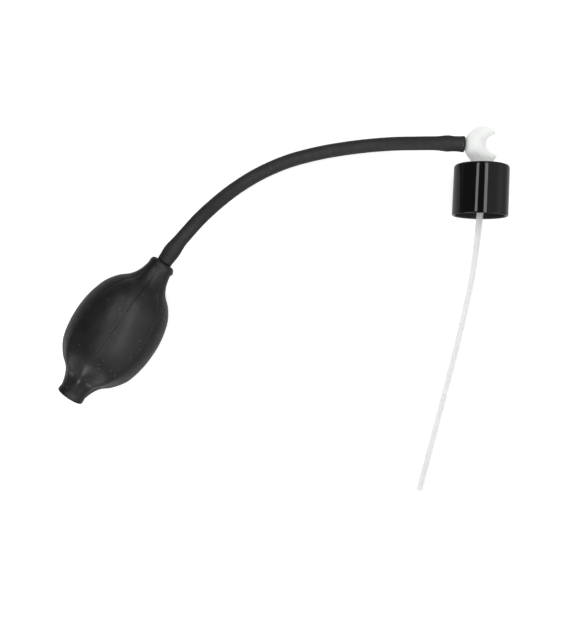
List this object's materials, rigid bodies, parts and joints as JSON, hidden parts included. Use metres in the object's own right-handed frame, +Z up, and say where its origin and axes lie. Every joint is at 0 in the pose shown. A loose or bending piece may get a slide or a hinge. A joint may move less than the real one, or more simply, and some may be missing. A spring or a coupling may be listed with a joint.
{
  "type": "squeeze-bulb atomiser head",
  "caption": "Rubber squeeze bulb on a hose that blows air into a white notched ball head on a glossy black screw cap with a thin dip tube, for spraying liquid out of a bottle.",
  "frame": {"origin": "on the surface that the object lies on, under the middle of its box without the hose", "axes": "+Y along the cap's axis from its mouth to the ball, +X from the bulb's side to the cap's side, +Z up from the surface"},
  "size_m": [0.2209, 0.1876, 0.0438],
  "materials": {
    "bulb_rubber": "matte moulded rubber with fine seams and specks of dust",
    "hose_rubber": "matte extruded rubber hose",
    "cap_gloss": "high gloss black",
    "white_plastic": "satin translucent white",
    "clear_plastic": "milky translucent",
    "valve_plastic": "satin black",
    "steel": "polished",
    "seal_rubber": "smooth",
    "gasket_foam": "closed-cell foam"
  },
  "bodies": {
    "pump": {"bulb_shell": "bulb_rubber", "inlet_valve_body": "valve_plastic", "inlet_valve_cage": "valve_plastic", "inlet_screen": "steel", "outlet_valve_body": "valve_plastic", "outlet_valve_cage": "valve_plastic", "hose_connector": "valve_plastic", "air_hose": "hose_rubber", "head_ball": "white_plastic", "hose_barb": "valve_plastic", "spray_nozzle": "white_plastic", "stem_fitment": "white_plastic", "stem_o_ring": "seal_rubber", "neck_gasket": "gasket_foam", "dip_tube": "clear_plastic"},
    "cap": {"screw_cap": "cap_gloss"},
    "inlet_ball": {"inlet_valve_ball": "steel"},
    "outlet_ball": {"outlet_valve_ball": "steel"}
  },
  "joints": [
    {"name": "cap_swivel", "type": "hinge", "parent": "pump", "child": "cap", "pos_m": [0.09655, 0.0491, 0.014], "axis": [0, 1, 0], "continuous": true},
    {"name": "inlet_ball_lift", "type": "slide", "parent": "pump", "child": "inlet_ball", "axis": [0.5417, 0.8406, 0], "range_m": [0, 0.0012]},
    {"name": "outlet_ball_lift", "type": "slide", "parent": "pump", "child": "outlet_ball", "axis": [0.5417, 0.8406, 0], "range_m": [0, 0.0012], "deforming": ["bulb_shell"]}
  ]
}
